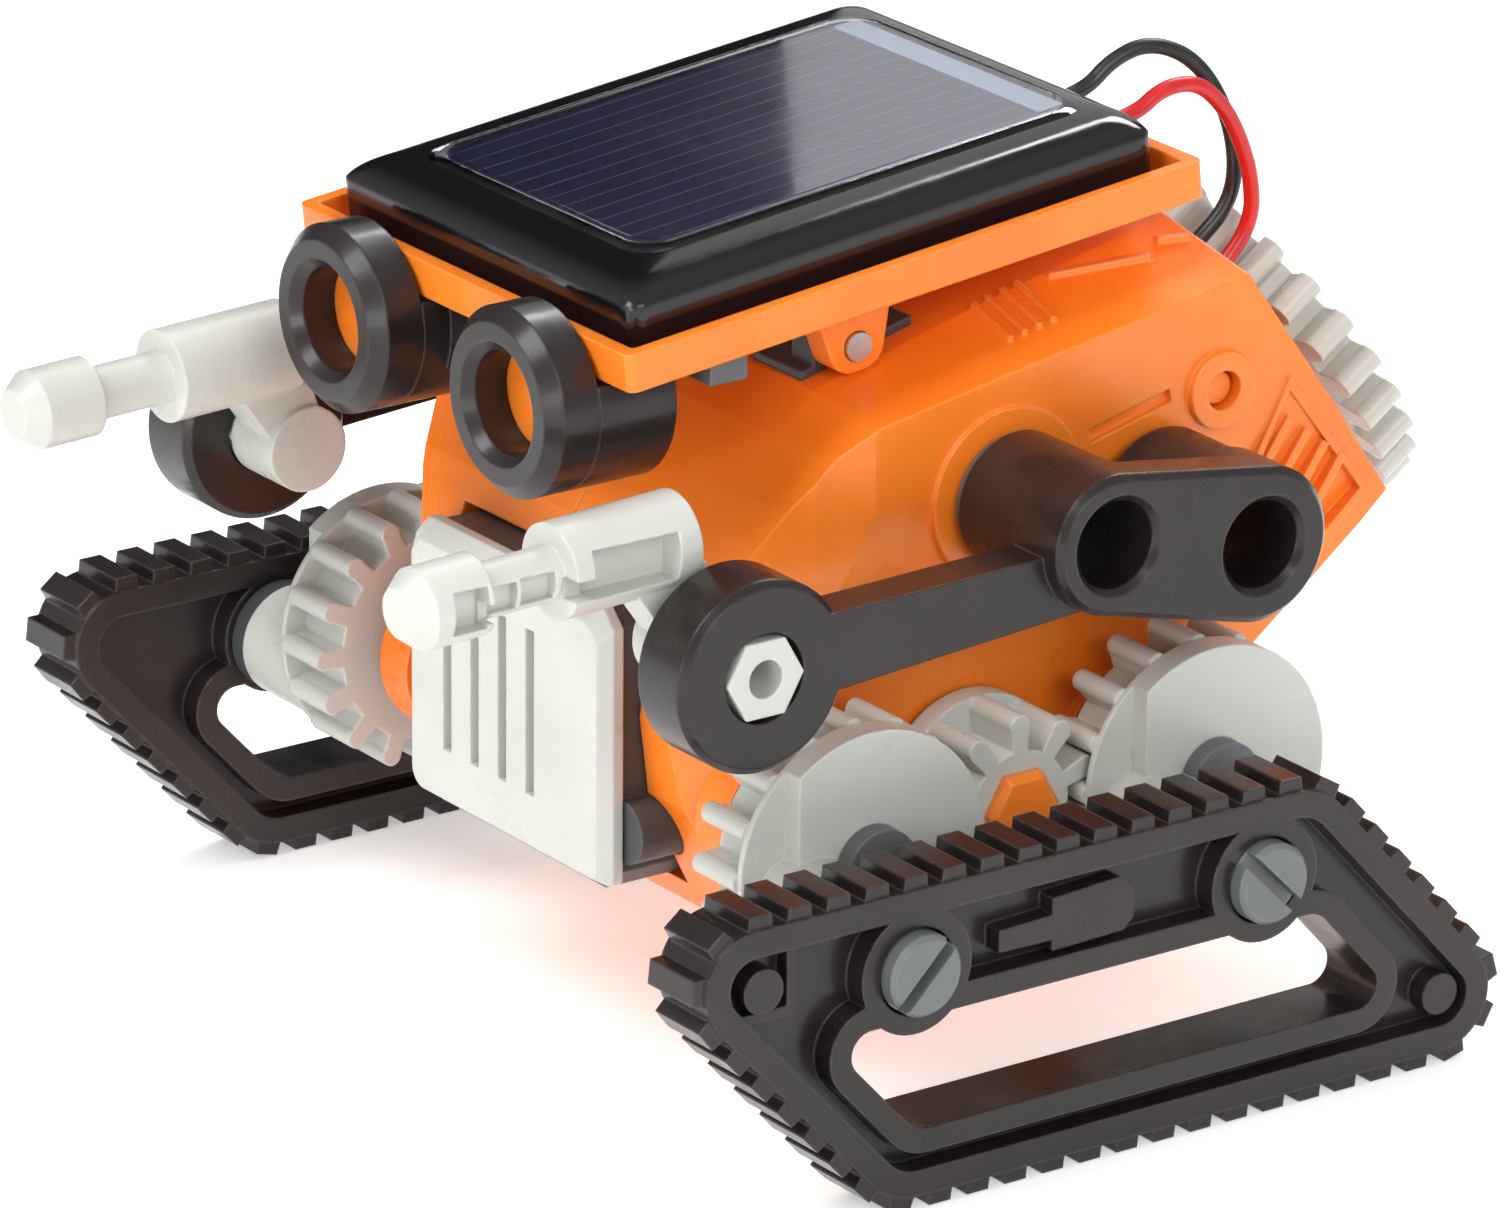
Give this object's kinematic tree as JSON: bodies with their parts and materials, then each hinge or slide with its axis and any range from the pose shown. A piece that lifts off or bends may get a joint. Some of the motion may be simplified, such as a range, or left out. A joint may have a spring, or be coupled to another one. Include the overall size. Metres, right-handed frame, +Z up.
{
  "type": "solar robot kit",
  "caption": "Toy walking robot kit: solar roof on a tilting head, orange gearbox hull, geared cranks carrying two track-shaped feet, swinging arms with blasters and a toothed rear wheel.",
  "frame": {"origin": "on the ground under the foot pads, at the centre of the footprint of the whole kit", "axes": "+Z up, -Y the face with the two eyes, +X one side of the robot"},
  "size_m": [0.1088, 0.1238, 0.0826],
  "materials": {
    "black_lead": "satin",
    "black_plastic": "gloss",
    "brass_worm": "satin",
    "clear_resin": "gloss",
    "grey_housing_plastic": "matt",
    "grey_pin_plastic": "satin",
    "motor_steel": "satin",
    "orange_plastic": "satin",
    "panel_black": "gloss",
    "pin_steel": "gloss",
    "red_lead": "satin",
    "silver_print": "satin",
    "solar_navy": "gloss",
    "white_plastic": "satin"
  },
  "bodies": {
    "hull": {"arm_peg_left": "grey_pin_plastic", "arm_peg_right": "grey_pin_plastic", "black_wire": "black_lead", "body_shell_left": "orange_plastic", "body_shell_right": "orange_plastic", "gear_shaft": "pin_steel", "head_hinge_pin": "pin_steel", "motor_can": "motor_steel", "motor_cover": "white_plastic", "motor_housing": "grey_housing_plastic", "neck_bracket_left": "grey_housing_plastic", "neck_bracket_right": "grey_housing_plastic", "rear_bearing": "grey_pin_plastic", "red_wire": "red_lead", "side_screws": "pin_steel"},
    "arm_left_body": {"arm_left": "black_plastic"},
    "gun_left_body": {"gun_left": "white_plastic"},
    "track_left_body": {"track_left": "black_plastic"},
    "crank_front_left": {"crank_gear_front_left": "white_plastic", "gear_cap_front_left": "grey_pin_plastic", "crank_bushing_front_left": "grey_housing_plastic", "track_pin_front_left": "grey_pin_plastic"},
    "crank_rear_left": {"crank_gear_rear_left": "white_plastic", "gear_cap_rear_left": "grey_pin_plastic", "crank_bushing_rear_left": "grey_housing_plastic", "track_pin_rear_left": "grey_pin_plastic"},
    "arm_right_body": {"arm_right": "black_plastic"},
    "gun_right_body": {"gun_right": "white_plastic"},
    "track_right_body": {"track_right": "black_plastic"},
    "crank_front_right": {"crank_gear_front_right": "white_plastic", "gear_cap_front_right": "grey_pin_plastic", "crank_bushing_front_right": "grey_housing_plastic", "track_pin_front_right": "grey_pin_plastic"},
    "crank_rear_right": {"crank_gear_rear_right": "white_plastic", "gear_cap_rear_right": "grey_pin_plastic", "crank_bushing_rear_right": "grey_housing_plastic", "track_pin_rear_right": "grey_pin_plastic"},
    "head": {"head_tray": "orange_plastic", "solar_panel_case": "panel_black", "solar_cell": "solar_navy", "solar_busbar": "silver_print", "solar_resin": "clear_resin", "eye_bracket": "black_plastic", "eye_left": "black_plastic", "eye_right": "black_plastic", "eye_back_left": "orange_plastic", "eye_back_right": "orange_plastic", "tray_clip": "grey_pin_plastic"},
    "axle": {"main_axle": "orange_plastic", "middle_gear_left": "white_plastic", "middle_gear_right": "white_plastic", "axle_gear": "white_plastic", "worm_wheel": "white_plastic"},
    "lay_gear": {"reduction_gear": "white_plastic"},
    "rotor": {"motor_rotor": "pin_steel"},
    "flywheel": {"rear_wheel": "white_plastic", "wheel_shaft": "pin_steel", "drive_worm": "brass_worm"}
  },
  "joints": [
    {"name": "axle_turn", "type": "hinge", "parent": "hull", "child": "axle", "pos_m": [0, -0.0005, 0.0252], "axis": [1, 0, 0], "continuous": true},
    {"name": "head_tilt", "type": "hinge", "parent": "hull", "child": "head", "pos_m": [0, -0.0079, 0.0645], "axis": [1, 0, 0], "range_deg": [-4, 6], "deforming": ["black_wire", "red_wire"]},
    {"name": "arm_swing_left", "type": "hinge", "parent": "hull", "child": "arm_left_body", "pos_m": [-0.036, 0.0023, 0.0514], "axis": [1, 0, 0], "range_deg": [-12, 6]},
    {"name": "gun_tilt_left", "type": "hinge", "parent": "arm_left_body", "child": "gun_left_body", "pos_m": [-0.036, -0.0328, 0.0461], "axis": [1, 0, 0], "range_deg": [-40, 40]},
    {"name": "crank_turn_front_left", "type": "hinge", "parent": "hull", "child": "crank_front_left", "pos_m": [-0.036, -0.0189, 0.0252], "axis": [1, 0, 0], "continuous": true},
    {"name": "crank_turn_rear_left", "type": "hinge", "parent": "hull", "child": "crank_rear_left", "pos_m": [-0.036, 0.0179, 0.0252], "axis": [1, 0, 0], "continuous": true},
    {"name": "track_pivot_left", "type": "hinge", "parent": "crank_front_left", "child": "track_left_body", "pos_m": [-0.049, -0.02479, 0.0218], "axis": [1, 0, 0], "continuous": true},
    {"name": "arm_swing_right", "type": "hinge", "parent": "hull", "child": "arm_right_body", "pos_m": [0.036, 0.0023, 0.0514], "axis": [1, 0, 0], "range_deg": [-12, 6]},
    {"name": "gun_tilt_right", "type": "hinge", "parent": "arm_right_body", "child": "gun_right_body", "pos_m": [0.036, -0.0328, 0.0461], "axis": [1, 0, 0], "range_deg": [-40, 40]},
    {"name": "crank_turn_front_right", "type": "hinge", "parent": "hull", "child": "crank_front_right", "pos_m": [0.036, -0.0189, 0.0252], "axis": [1, 0, 0], "continuous": true},
    {"name": "crank_turn_rear_right", "type": "hinge", "parent": "hull", "child": "crank_rear_right", "pos_m": [0.036, 0.0179, 0.0252], "axis": [1, 0, 0], "continuous": true},
    {"name": "track_pivot_right", "type": "hinge", "parent": "crank_front_right", "child": "track_right_body", "pos_m": [0.049, -0.02479, 0.0218], "axis": [1, 0, 0], "continuous": true},
    {"name": "lay_gear_turn", "type": "hinge", "parent": "hull", "child": "lay_gear", "pos_m": [0.015, 0.00199, 0.03694], "axis": [1, 0, 0], "continuous": true},
    {"name": "rotor_turn", "type": "hinge", "parent": "hull", "child": "rotor", "pos_m": [0.015, -0.0096, 0.04004], "axis": [1, 0, 0], "continuous": true},
    {"name": "flywheel_turn", "type": "hinge", "parent": "hull", "child": "flywheel", "pos_m": [0, 0.0498, 0.052], "axis": [0, 0.8116, 0.5843], "continuous": true}
  ],
  "couplings": [
    {"joint": "crank_turn_front_left", "follows": "axle_turn", "ratio": -0.625},
    {"joint": "crank_turn_rear_left", "follows": "axle_turn", "ratio": -0.625},
    {"joint": "track_pivot_left", "follows": "axle_turn", "ratio": 0.625},
    {"joint": "crank_turn_front_right", "follows": "axle_turn", "ratio": -0.625},
    {"joint": "crank_turn_rear_right", "follows": "axle_turn", "ratio": -0.625},
    {"joint": "track_pivot_right", "follows": "axle_turn", "ratio": 0.625},
    {"joint": "lay_gear_turn", "follows": "axle_turn", "ratio": -3},
    {"joint": "rotor_turn", "follows": "axle_turn", "ratio": 9},
    {"joint": "flywheel_turn", "follows": "axle_turn", "ratio": 2}
  ]
}
